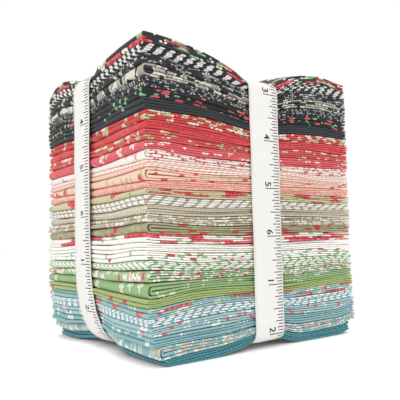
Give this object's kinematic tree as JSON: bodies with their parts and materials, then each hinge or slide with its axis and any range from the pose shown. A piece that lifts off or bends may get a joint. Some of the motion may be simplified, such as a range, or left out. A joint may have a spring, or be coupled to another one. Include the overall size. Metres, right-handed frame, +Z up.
{
  "type": "fat quarter bundle",
  "caption": "Tied stack of folded printed quilting cottons in charcoal, red, peach, taupe, green and aqua, held by two crossing twill ruler tapes.",
  "frame": {"origin": "middle of the bounding box at the height of the floor, on which the four bottom corners of the stack rest", "axes": "+X along the stack's long side, +Y away from the front face, +Z up through the layers"},
  "size_m": [0.1442, 0.1202, 0.1537],
  "materials": {
    "charcoal_rose": "matt printed quilting cotton",
    "black_leaf_stripe": "matt printed quilting cotton",
    "black_blossom": "matt printed quilting cotton",
    "black_cream_scroll": "matt printed quilting cotton",
    "black_fine_marks": "matt printed quilting cotton",
    "black_rosebud": "matt printed quilting cotton",
    "charcoal_sparse": "matt printed quilting cotton",
    "red_posy": "matt printed quilting cotton",
    "red_tonal": "matt printed quilting cotton",
    "red_cream_floral": "matt printed quilting cotton",
    "coral_blossom": "matt printed quilting cotton",
    "white_sprig": "matt printed quilting cotton",
    "peach_check": "matt printed quilting cotton",
    "peach_leaf_berry": "matt printed quilting cotton",
    "pink_plain": "matt printed quilting cotton",
    "red_cream_rose": "matt printed quilting cotton",
    "taupe_leaf_stripe": "matt printed quilting cotton",
    "taupe_fine": "matt printed quilting cotton",
    "taupe_blossom": "matt printed quilting cotton",
    "taupe_green_berry": "matt printed quilting cotton",
    "white_rose": "matt printed quilting cotton",
    "cream_plain": "matt printed quilting cotton",
    "white_leaf_berry": "matt printed quilting cotton",
    "green_leaf_stripe": "matt printed quilting cotton",
    "green_blossom": "matt printed quilting cotton",
    "green_tonal": "matt printed quilting cotton",
    "lime_dot": "matt printed quilting cotton",
    "aqua_rose": "matt printed quilting cotton",
    "aqua_leaf_stripe": "matt printed quilting cotton",
    "aqua_blossom": "matt printed quilting cotton",
    "aqua_tonal": "matt printed quilting cotton",
    "aqua_cream_scroll": "matt printed quilting cotton",
    "teal_dense": "matt printed quilting cotton",
    "printed_twill": "matt cotton twill tape with printed inch ticks"
  },
  "bodies": {
    "root": {"fat_quarter_01_charcoal_rose": "charcoal_rose", "fat_quarter_02_black_leaf_stripe": "black_leaf_stripe", "fat_quarter_03_black_blossom": "black_blossom", "fat_quarter_04_black_cream_scroll": "black_cream_scroll", "fat_quarter_05_black_fine_marks": "black_fine_marks", "fat_quarter_06_black_rosebud": "black_rosebud", "fat_quarter_07_charcoal_sparse": "charcoal_sparse", "fat_quarter_08_red_posy": "red_posy", "fat_quarter_09_red_tonal": "red_tonal", "fat_quarter_10_red_cream_floral": "red_cream_floral", "fat_quarter_11_coral_blossom": "coral_blossom", "fat_quarter_12_white_sprig": "white_sprig", "fat_quarter_13_peach_check": "peach_check", "fat_quarter_14_peach_leaf_berry": "peach_leaf_berry", "fat_quarter_15_pink_plain": "pink_plain", "fat_quarter_16_red_cream_rose": "red_cream_rose", "fat_quarter_17_taupe_leaf_stripe": "taupe_leaf_stripe", "fat_quarter_18_taupe_fine": "taupe_fine", "fat_quarter_19_taupe_blossom": "taupe_blossom", "fat_quarter_20_taupe_green_berry": "taupe_green_berry", "fat_quarter_21_white_rose": "white_rose", "fat_quarter_22_cream_plain": "cream_plain", "fat_quarter_23_white_leaf_berry": "white_leaf_berry", "fat_quarter_24_green_leaf_stripe": "green_leaf_stripe", "fat_quarter_25_green_blossom": "green_blossom", "fat_quarter_26_green_tonal": "green_tonal", "fat_quarter_27_lime_dot": "lime_dot", "fat_quarter_28_aqua_rose": "aqua_rose", "fat_quarter_29_aqua_leaf_stripe": "aqua_leaf_stripe", "fat_quarter_30_aqua_blossom": "aqua_blossom", "fat_quarter_31_aqua_tonal": "aqua_tonal", "fat_quarter_32_aqua_cream_scroll": "aqua_cream_scroll", "fat_quarter_33_teal_dense": "teal_dense", "tape_front_back": "printed_twill", "tape_left_right": "printed_twill"}
  },
  "joints": []
}
